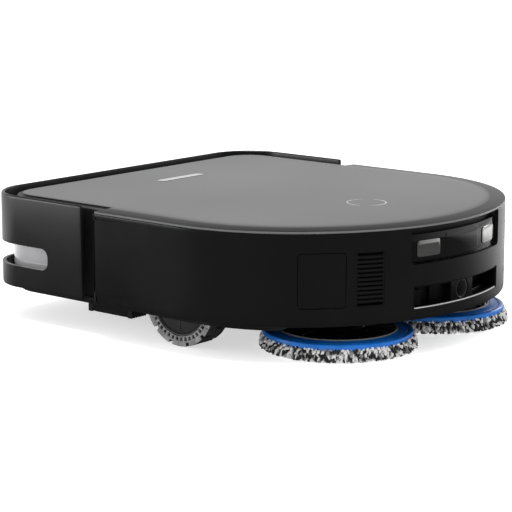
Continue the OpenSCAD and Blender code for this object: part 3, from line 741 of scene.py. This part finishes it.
for k in range(3):
    block(bm, (-2.9, 165.0, -0.35), (2.9, 168.0, 0.35), 0.1,
          turn=Matrix.Translation((INLET_X, 0, INLET_Z)) @ Matrix.Rotation(math.pi * k / 3, 4, "Y"))
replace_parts(finish_mesh("inlet_nozzle", bm, MAT["rim"], "chassis", 30), "water_inlet")
bm = bmesh.new()
block(bm, (-51.5, 157.0, 40.0), (-12.5, 158.2, 49.9), 0.4)
lathe(bm, [(0, -53.5), (1.2, -53.5), (1.2, -10.5), (0, -10.5)], 20, place=sideways(157.6, 49.9))
for k in range(5):
    block(bm, (-48 + k * 8, 158.0, 41.5), (-47 + k * 8, 158.7, 48.5), 0.2)
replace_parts(finish_mesh("outlet_flap", bm, MAT["base"], "flap", 30), "dust_flap")

# ---------------------------------------------------------------- bumper

bumper_profile = [(3.0, 29.2), (2.2, 28.2), (1.3, SKIRT_Z), (0.6, 28.35), (0.15, 29.3), (0.0, 31.0),
                  (0.0, 60.0),
                  (0.0, 101.0), (0.25, 102.2), (0.8, 102.9), (1.5, LIP_Z), (2.3, 102.9), (2.85, 102.3),
                  (3.0, 101.5),
                  (3.0, 60.0)]
s_end = front_s(BUMPER_Y)
tips = [s_end - d for d in (0.0, 0.15, 0.5, 1.2)]


def bumper_tipped(s):
    """The ends of the bumper's arms are rounded off."""
    k = lift(s_end - abs(s), 0.9)
    mid = 1.5
    out = []
    for inset, z in bumper_profile:
        i = mid + (inset - mid) * (1 - k / mid * 0.9)
        out.append((i, z + (k if z < 40 else -k if z > 90 else 0)))
    return out


bm = bmesh.new()
body_s = spread(-tips[-1], tips[-1], 3.0)
sweep(bm, front_at, [-t for t in tips[:-1]] + body_s + list(reversed(tips[:-1])), bumper_tipped)
bumper = finish_mesh("bumper_cover", bm, MAT["bumper"], None, 30)
slot_s = front_s(-105.0)
bm = bmesh.new()
half_h, mid_z, round_r = 8.75, 54.75, 7.0
ends_s = [slot_s - round_r * (1 - math.cos(math.pi / 2 * i / 7)) for i in range(8)]
straight = spread(-slot_s + round_r, slot_s - round_r, 3.0)[1:-1]
stations = [-s for s in ends_s] + straight + list(reversed(ends_s))
rings = []
for s in stations:
    half = half_h - lift(slot_s - abs(s), round_r)
    corners = ((-1, -3), (1, -3), (1, 6), (-1, 6))
    rings.append([at(front_at, s, mid_z + k * half, inset) for k, inset in corners])
loops(bm, rings, ends=True)
cutter = finish_mesh("cutter", bm, [], None)
cut_out(bumper, cutter)
resharpen(bumper, 30)
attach(bumper, "bumper")
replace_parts(bumper, "bumper_shell")

# ---------------------------------------------------------------- mops

MOP_REACH = 61.2          # no loop's tip is farther out than this, so the two mops stay apart

for side, sign in SIDES:
    x = sign * MOP_X
    body = "mop_" + side
    put = upright(x, MOP_Y)
    bm = bmesh.new()
    ring = [(46.0, 9.0), (56.2, 8.6), (57.4, 9.0), (58.0, 10.0), (58.0, 12.4), (57.6, 13.3), (56.8, 13.8),
            (55.8, 13.9), (54.7, 13.9), (54.4, 13.5), (53.4, 13.5),
            (53.1, 13.9), (49.4, 13.9), (48.2, 14.3), (46.8, 14.4), (46.0, 14.0)]
    lathe(bm, ring, 128, 0, put, closed=True)
    lathe(bm, [(44.4, 12.5), (46.1, 12.5), (46.1, 14.6), (45.8, 15.0), (45.2, 15.1), (44.7, 15.0),
               (44.4, 14.4)], 112, 1, put, closed=True)
    disc = [(0, 9.0), (43.8, 9.0), (43.8, 13.8), (42.0, 14.5), (33.0, 15.2), (32.2, 14.6), (30.0, 14.6),
            (29.2, 15.4), (20.8, 16.2),
            (20.0, 18.0), (18.5, 18.5), (8.0, 18.5), (6.4, 19.5), (6.0, 21.0), (6.0, 47.0), (5.2, 48.0),
            (0, 48.0)]
    lathe(bm, disc, 96, 2, put)
    for k in range(18):
        block(bm, (21.0, -0.6, 13.5), (43.0, 0.6, 16.0 if k % 3 else 16.8), 0.3, 2,
              turned(x, MOP_Y, TAU * k / 18))
    for k in range(72):
        block(bm, (53.45, -0.75, 13.1), (54.35, 0.75, 13.75), 0.15, 2, turned(x, MOP_Y, TAU * k / 72))
    plate = finish_mesh("mop_ring_" + side, bm, [MAT["blue"], MAT["rim_grey"], MAT["gloss"]], body, 28)
    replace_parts(plate, "mop_plate_" + side)

    # the pad: a crowned cloth disc, then rows of short loops round its edge and under it
    rnd = random.Random(7 + len(side))
    bm = bmesh.new()
    lathe(bm, [(0, 0.9), (20.0, 0.8), (40.0, 0.7), (52.0, 0.7), (56.5, 1.6), (58.6, 3.6), (58.4, 6.4),
               (56.6, 8.4), (52.0, 8.8), (0, 8.6)], 96, 0, put)
    for v in bm.verts:
        r = math.hypot(v.co.x - x * MM, v.co.y - MOP_Y * MM)
        if 0.01 < r:
            v.co.z += rnd.uniform(-0.25, 0.25) * MM
    rows = [(56.8, 9.6, 0.8, 0.35, 150), (57.9, 8.6, 0.35, 0.45, 156), (58.2, 6.8, 0.0, 0.5, 160),
            (58.2, 5.0, -0.15, 0.5, 160), (57.8, 3.3, -0.35, 0.45, 156),
            (57.0, 2.0, -0.5, 0.3, 150)]
    for row, (r0, z0, climb, droop, count) in enumerate(rows):
        for k in range(count):
            a = TAU * (k + rnd.uniform(-0.35, 0.35)) / count
            out = Vector((math.cos(a), math.sin(a), 0))
            side_v = Vector((-math.sin(a), math.cos(a), 0))
            length = rnd.uniform(3.6, 6.0)
            fat = rnd.uniform(0.85, 1.35)
            sway, curl = rnd.uniform(-0.65, 0.65), rnd.uniform(-1.2, 1.2)
            pts = []
            for q in range(5):
                t = q / 4
                far = r0 - 1.5 + length * (t - 0.18 * t * t * (1 + climb))
                p = Vector((x, MOP_Y, z0 + rnd.uniform(-0.35, 0.35))) + out * far
                p += side_v * (sway * length * t * 0.55 + curl * math.sin(t * 3.0))
                p.z += length * (climb * t * 0.35 - droop * t * t)
                p.z = max(p.z, 1.08 * fat)
                pts.append(p)
            over = max(0.0, math.hypot(pts[-1].x - x, pts[-1].y - MOP_Y) - MOP_REACH)
            pts = [p - out * over * (q / 4) for q, p in enumerate(pts)]
            hue = rnd.random()
            look = 1 if hue < (0.62 if row < 2 else 0.44) else 2 if hue < (0.76 if row < 2 else 0.56) else 3
            tube(bm, pts, [fat * 0.75, fat, fat * 1.05, fat * 0.9, fat * 0.45], 5, look)
    for k in range(230):                                  # loops that show under the pad
        a, r = rnd.uniform(0, TAU), 54.0 * math.sqrt(rnd.random())
        base = Vector((x + r * math.cos(a), MOP_Y + r * math.sin(a), 0))
        turn = rnd.uniform(0, TAU)
        way = Vector((math.cos(turn), math.sin(turn), 0))
        fat = rnd.uniform(0.8, 1.1)
        pts = [base + way * (t * 6.0 - 3.0) + Vector((0, 0, 1.2 - 0.35 * math.sin(math.pi * t)))
               for t in (0.0, 0.25, 0.5, 0.75, 1.0)]
        tube(bm, pts, [fat * 0.6, fat * 0.75, fat * 0.75, fat * 0.75, fat * 0.6], 5, rnd.choice((1, 1, 2, 3)))
    pad = finish_mesh("mop_cloth_" + side, bm, [MAT["cloth"], MAT["tuft_white"], MAT["tuft_grey"],
                                                MAT["tuft_black"]], body, 80)
    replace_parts(pad, "mop_pad_" + side)

# ---------------------------------------------------------------- drive wheels

WHEEL_Y, WHEEL_Z = 17.0, 35.0
for side, sign in SIDES:
    body = "wheel_" + side
    put = sideways(WHEEL_Y, WHEEL_Z, sign)

    def about(k, n, sign=sign):
        """Turns a box drawn with its radius along Z about the axle."""
        move = Matrix.Translation((0, WHEEL_Y, WHEEL_Z)) @ Matrix.Rotation(TAU * k / n, 4, "X")
        return move @ Matrix.Diagonal((sign, 1, 1, 1))

    bm = bmesh.new()
    rim = [(4.1, 122.5), (27.0, 122.5), (27.0, 143.2), (26.4, 143.6), (25.6, 143.4), (25.2, 142.6),
           (25.0, 142.4), (24.6, 142.9), (23.8, 143.1), (10.0, 143.3),
           (9.2, 142.9), (8.6, 142.9), (8.0, 143.4), (4.0, 143.6), (0.0, 143.6)]
    lathe(bm, [(0.0, 139.4), (4.1, 139.4)] + rim, 96, 0, put)
    for k in range(3):
        block(bm, (143.0, -0.9, 11.5), (143.5, 0.9, 22.5), 0.2, 0, about(k + 0.5, 3))
    wheel = finish_mesh("wheel_hub_" + side, bm, MAT["rim"], body, 25)
    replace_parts(wheel, "wheel_rim_" + side)

    bm = bmesh.new()
    tread = [(27.0, 122.6), (31.6, 122.6), (32.2, 123.2), (32.4, 124.4), (32.4, 142.6), (32.2, 143.6),
             (31.7, 144.1), (30.8, 144.2), (30.6, 143.8), (30.5, 142.0),
             (27.8, 142.0), (27.7, 143.8), (27.5, 144.2), (27.0, 144.1)]
    lathe(bm, tread, 126, 0, put, closed=True)
    for f in bm.faces:
        c = f.calc_center_median() / MM
        inner = 141 < abs(c.x) < 142.5 and math.hypot(c.y - WHEEL_Y, c.z - WHEEL_Z) < 31.0
        f.material_index = 1 if inner else 0
    for k in range(42):
        block(bm, (141.8, -0.85, 27.4), (144.05, 0.85, 30.9), 0.2, 0, about(k, 42))
    for k in range(12):
        for x0, x1, shift in ((133.8, 144.3, 0.0), (122.7, 133.2, 0.5)):
            for part in (-1, 1):
                block(bm, (x0, -3.55, 31.6), (x1, 3.55, 34.85), 0.5, 0, about(k + shift + part * 0.205, 12))
            block(bm, (x0 + 0.4, -4.0, 31.6), (x1 - 0.4, 4.0, 34.2), 0.4, 0, about(k + shift, 12))
    for f in bm.faces:                                   # painted shade: the tread takes a darker copy of the tyre rubber than the sidewall, for the shadow it sits in
        c = f.calc_center_median() / MM
        if math.hypot(c.y - WHEEL_Y, c.z - WHEEL_Z) > 31.3 and abs(c.x) < 143.6:
            f.material_index = 2
    tyre = finish_mesh("tyre_" + side, bm, [MAT["tyre"], MAT["tuft_black"], MAT["tread"]], body, 28)
    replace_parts(tyre, "wheel_tyre_" + side)

# ---------------------------------------------------------------- brushes, caster and small parts

def slab_ring(x0, x1, y0, y1, r, z):
    """A rounded rectangle at height z, in mm."""
    corners = ((x1 - r, y1 - r), (x0 + r, y1 - r), (x0 + r, y0 + r), (x1 - r, y0 + r))
    return [p for k, (x, y) in enumerate(corners)
            for p in flat(arc(x, y, r, math.pi / 2 * k, math.pi / 2 * (k + 1), 5), z)]


BRUSH_Y, BRUSH_Z = -72.0, 27.0
bm = bmesh.new()
sides = [(132, 25, 6, 22.0), (131.6, 24.6, 6, 20.8), (128.4, 21.6, 5, 10.4), (127.6, 20.8, 4.5, 9.6),
         (101.5, 18.5, 2.5, 9.5), (100.4, 17.4, 2.0, 10.2),
         (100, 17, 2, 13.0), (100, 21, 2, 13.4), (100, 21, 2, 22.0)]
loops(bm, [slab_ring(-x, x, BRUSH_Y - y, BRUSH_Y + y, r, z) for x, y, r, z in sides])
made = [slab_ring(-x, x, BRUSH_Y - y, BRUSH_Y + y, r, z) for x, y, r, z in (sides[-1], sides[0])]
loops(bm, made)
bmesh.ops.remove_doubles(bm, verts=bm.verts, dist=1e-7)
for x in (-60, -20, 20, 60):
    block(bm, (x - 1.2, BRUSH_Y - 17.6, 9.5), (x + 1.2, BRUSH_Y + 17.6, 11.7), 0.4)
for x0 in (-130, 112):
    for i in range(7):
        block(bm, (x0 + i * 2.6, BRUSH_Y - 24.2, 9.4), (x0 + 1.2 + i * 2.6, BRUSH_Y - 19.5, 18.5), 0.25)
        block(bm, (x0 + i * 2.6, BRUSH_Y + 19.5, 9.4), (x0 + 1.2 + i * 2.6, BRUSH_Y + 24.2, 18.5), 0.25)
for x in (-116, 116):
    block(bm, (x - 7, BRUSH_Y - 9, 8.9), (x + 7, BRUSH_Y + 9, 10.2), 0.5)
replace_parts(finish_mesh("brush_cover", bm, MAT["base"], "chassis", 30), "brush_guard")

# six rows in a shallow V: rubber fins and rows of bristles in turn
bm = bmesh.new()
rnd = random.Random(11)
for i in range(6):
    for x0, x1 in ((-88, -63), (-57, -23), (-17, 17), (23, 57), (63, 88)):
        def at_fin(x, r, side_t, i=i):
            a = TAU * i / 6 + 0.55 * abs(x) / 88 + side_t / r
            return Vector((x, BRUSH_Y + r * math.cos(a), BRUSH_Z + r * math.sin(a)))
        if i % 2 == 0:
            rings = [[at_fin(x, r, t) * MM for r, t in ((11.8, -1.3), (15.0, -0.8), (19.2, -0.5), (19.5, 0.0),
                                                        (19.2, 0.5), (15.0, 0.8), (11.8, 1.3))]
                     for x in spread(x0, x1, 4.0)]
            loops(bm, rings, ends=True)
        else:
            for x in spread(x0 + 1, x1 - 1, 2.4):
                for q in range(2):
                    dx, dt = rnd.uniform(-0.9, 0.9), rnd.uniform(-0.7, 0.7)
                    pts = [at_fin(x + dx * t, 11.8 + 7.5 * t, dt * t) for t in (0.0, 0.5, 1.0)]
                    tube(bm, pts, [0.55, 0.5, 0.35], 4, 1)
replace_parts(finish_mesh("roller_rows", bm, [MAT["rubber"], MAT["bristle"]], "main_brush", 35),
            "brush_blades")

SB_X, SB_Y = -118.0, -132.0
bm = bmesh.new()
lathe(bm, [(0, 3.6), (2.0, 3.6), (2.2, 3.2), (4.6, 3.2), (8.8, 3.9), (10.4, 4.9), (11.0, 6.6), (11.0, 9.5),
           (10.2, 10.2), (8.6, 10.6), (7.6, 12.5), (7.0, 20.2), (6.0, 21.0),
           (2.5, 21.2), (2.5, 38.6), (2.1, 39.0), (0, 39.0)], 56, place=upright(SB_X, SB_Y))
for k in range(2):
    block(bm, (-1.7, -0.35, 3.1), (1.7, 0.35, 3.8), 0.1, turn=turned(SB_X, SB_Y, math.pi / 2 * k))
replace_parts(finish_mesh("side_brush_cap", bm, MAT["rim"], "side_brush", 30), "side_brush_hub")
bm = bmesh.new()
for deg in (228, 348, 108):
    turn = turned(SB_X, SB_Y, math.radians(deg))
    rings = []
    for x, w, h in ((10.0, 3.2, 1.5), (16.0, 3.0, 1.4), (22.0, 3.4, 1.2), (27.0, 3.7, 1.0), (27.8, 3.4, 0.8)):
        rings.append([(turn @ Vector((x, w * math.cos(TAU * k / 12), 5.5 + h * math.sin(TAU * k / 12)))) * MM
                      for k in range(12)])
    loops(bm, rings, ends=True, mat=1)
    for q in range(64):
        a, h = rnd.uniform(-1, 1), rnd.uniform(-1, 1)
        reach = 60.6 - 1.6 * rnd.random() - 1.2 * a * a
        pts = [Vector((25.0 + (reach - 25.0) * t, (2.8 + 2.9 * t) * a + 0.5 * math.sin(t * 4 + q),
                       5.5 + h * (0.6 + 0.5 * t) - 0.35 * t)) for t in (0.0, 0.35, 0.7, 1.0)]
        tube(bm, [turn @ p for p in pts], [0.30, 0.28, 0.25, 0.18], 4, 0)
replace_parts(finish_mesh("side_brush_bristles", bm, [MAT["bristle"], MAT["rim"]], "side_brush", 60),
            "side_brush_arms")

CASTER_Y, CASTER_R = -138.0, 16.0
bm = bmesh.new()
put = sideways(CASTER_Y + 4, CASTER_R)
lathe(bm, [(2.1, -7.8), (5.5, -7.8), (6.0, -7.2), (11.5, -7.0), (12.0, -7.8), (13.2, -7.9), (15.2, -6.6),
           (15.95, -4.6), (15.95, -1.4), (15.6, -0.9), (15.6, 0.9), (15.95, 1.4),
           (15.95, 4.6), (15.2, 6.6), (13.2, 7.9), (12.0, 7.8), (11.5, 7.0), (6.0, 7.2), (5.5, 7.8),
           (2.1, 7.8)], 72, 0, put, closed=True)
for f in bm.faces:
    c = f.calc_center_median() / MM
    f.material_index = 1 if math.hypot(c.y - CASTER_Y - 4, c.z - CASTER_R) < 11.8 else 0
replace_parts(finish_mesh("caster_tyre", bm, [MAT["rim"], MAT["button"]], "caster_roller", 28),
            "caster_wheel")

bm = bmesh.new()
lathe(bm, [(0, 89.0), (2.9, 89.0), (3.0, 89.4), (3.0, 95.2), (5.4, 95.2), (6.0, 95.8), (6.0, 96.8),
           (5.6, 97.25), (4.8, 97.4), (3.8, 97.1), (0, 96.95)], 48, place=upright(0, -145))
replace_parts(finish_mesh("power_cap", bm, MAT["button"], "power_key", 30), "power_button")

bm = bmesh.new()
for _, sign in SIDES:
    for px, py in ((30, -155), (140, -60), (92, 20), (40, 0)):
        put = upright(sign * px, py)
        lathe(bm, [(0, 21.2), (1.1, 21.2), (1.5, 20.8), (2.6, 20.45), (3.1, 20.9), (3.2, 22.0), (1.6, 22.0),
                   (1.6, 28.0), (0, 28.0)], 28, 0, put)
        for k in range(2):
            turn = turned(sign * px, py, math.pi / 2 * k + 0.4 * px)
            block(bm, (-1.7, -0.3, 20.5), (1.7, 0.3, 21.4), 0.08, 0, turn)
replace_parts(finish_mesh("base_screws", bm, MAT["steel"], "chassis", 30), "housing_screws")

# soft edges on the plain inner parts
for name, width in (("bin_tub", 0.8), ("bin_cover", 0.8), ("bin_handle", 0.9), ("bin_filter", 0.6),
                    ("top_deck", 0.4), ("caster_fork", 0.5), ("caster_socket", 0.5),
                    ("brush_housing", 0.5), ("water_tank", 1.5), ("battery_pack", 1.0), ("fan_housing", 0.6),
                    ("mop_drives", 0.6), ("drive_arm_left", 0.6),
                    ("drive_arm_right", 0.6), ("front_sensors", 0.5), ("mop_bay", 0.4), ("water_pump", 0.8),
                    ("cliff_sensors", 0.3), ("base_plate", 0.4)):
    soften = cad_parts[name].modifiers.new("soft_edges", "BEVEL")
    soften.width = width * MM
    soften.segments = 2
    soften.limit_method = "ANGLE"
    soften.angle_limit = math.radians(40)

# ---------------------------------------------------------------- stage

def soft_light(name, place, target, size, power, size_y=None):
    data = bpy.data.lights.new(name, "AREA")
    data.shape = "RECTANGLE"
    data.size = size
    if size_y:
        data.size_y = size_y
    data.energy = power
    ob = bpy.data.objects.new(name, data)
    ob.location = place
    ob.rotation_euler = (Vector(target) - Vector(place)).to_track_quat("-Z", "Y").to_euler()
    bpy.context.scene.collection.objects.link(ob)
    return ob


scene = bpy.context.scene
CAMERA_SIDE = (0.774, 0.633, 0.0)          # the side the studio is dark on, like a flagged set


def toward_camera(tree, vector):
    """How far a direction or place lies towards the camera side."""
    dot = tree.nodes.new("ShaderNodeVectorMath")
    dot.operation = "DOT_PRODUCT"
    tree.links.new(vector, dot.inputs[0])
    dot.inputs[1].default_value = CAMERA_SIDE
    return dot.outputs["Value"]


bm = bmesh.new()
loops(bm, [[Vector((r * math.cos(TAU * i / 48), r * math.sin(TAU * i / 48), 0)) for i in range(48)]
           for r in (6.0, 0.9)])
bmesh.ops.contextual_create(bm, geom=[e for e in bm.edges if len(e.link_faces) == 1
                                      and e.verts[0].co.length < 1.0])
m = Nodes("studio_floor")
m.link(m.ramp(m.noise(3.0), ((0.3, (0.84, 0.84, 0.84)), (0.7, (0.86, 0.86, 0.86)))),
       m.shader.inputs["Base Color"])
m.shader.inputs["Roughness"].default_value = 0.9
m.shader.inputs["Specular IOR Level"].default_value = 0.0
m.shader.inputs["Emission Color"].default_value = (1, 1, 1, 1)
m.shader.inputs["Emission Strength"].default_value = 0.58
# painted shade: reflections see the floor darkened towards the camera side, like a dark card; camera and
# other rays see it pale
painted_floor_shade = m.add("ShaderNodeBsdfDiffuse")
span = m.span(toward_camera(m.tree, m.coords), 0.0, 1.0, -0.2, 0.03)
m.link(m.ramp(span, ((0.0, (0.85, 0.85, 0.85)), (1.0, (0.09, 0.09, 0.09)))), painted_floor_shade.inputs["Color"])
mix = m.add("ShaderNodeMixShader")
m.link(m.add("ShaderNodeLightPath").outputs["Is Glossy Ray"], mix.inputs["Fac"])
m.link(m.shader.outputs["BSDF"], mix.inputs[1])
m.link(painted_floor_shade.outputs["BSDF"], mix.inputs[2])
m.link(mix.outputs["Shader"], m.tree.nodes["Material Output"].inputs["Surface"])
floor = finish_mesh("studio_floor", bm, m.mat, None)
floor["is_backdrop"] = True

world = bpy.data.worlds.new("studio")
scene.world = world
world.use_nodes = True
tree = world.node_tree
bg = tree.nodes["Background"]
direction = tree.nodes.new("ShaderNodeTexCoord").outputs["Generated"]


def world_span(value, a, b, low, high):
    node = tree.nodes.new("ShaderNodeMapRange")
    for key, number in (("From Min", a), ("From Max", b), ("To Min", low), ("To Max", high)):
        node.inputs[key].default_value = number
    tree.links.new(value, node.inputs["Value"])
    return node.outputs["Result"]


def world_math(op, a, b):
    node = tree.nodes.new("ShaderNodeMath")
    node.operation = op
    for value, socket in ((a, node.inputs[0]), (b, node.inputs[1])):
        if isinstance(value, float):
            socket.default_value = value
        else:
            tree.links.new(value, socket)
    return node.outputs["Value"]


height = tree.nodes.new("ShaderNodeSeparateXYZ")
tree.links.new(direction, height.inputs["Vector"])
# reflections see a white backdrop low on the far side, and little above it or behind the camera
round_it = world_span(toward_camera(tree, direction), -0.3, 0.45, 1.05, 0.14)
up_it = world_span(height.outputs["Z"], 0.215, 0.42, 1.0, 0.16)
glossy = world_math("MULTIPLY", round_it, up_it)
is_glossy = tree.nodes.new("ShaderNodeLightPath").outputs["Is Glossy Ray"]
rest = world_math("MULTIPLY", world_math("SUBTRACT", 1.0, is_glossy), 0.85)
tree.links.new(world_math("ADD", world_math("MULTIPLY", glossy, is_glossy), rest), bg.inputs["Strength"])
bg.inputs["Color"].default_value = (1.0, 1.0, 1.0, 1.0)
soft_light("top", (0.2, 0.0, 1.7), (0, 0, 0.05), 1.4, 12)
soft_light("far_right", (-1.35, 0.1, 0.60), (0, 0.05, 0.1), 0.9, 6)
soft_light("front_left", (0.85, -0.95, 0.30), (0.12, -0.1, 0.06), 0.6, 3.5, size_y=0.35)
scene.view_settings.view_transform = "Standard"

cam_data = bpy.data.cameras.new("view")
cam_data.lens = 143.4
cam_data.sensor_width = 36.0
cam = bpy.data.objects.new("view", cam_data)
cam.location = (1.2699, 1.0503, 0.3676)
aim = Vector((0.00017, -0.02757, 0.04387)) - Vector(cam.location)
cam.rotation_euler = aim.to_track_quat("-Z", "Y").to_euler()
scene.collection.objects.link(cam)
scene.camera = cam

low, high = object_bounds()
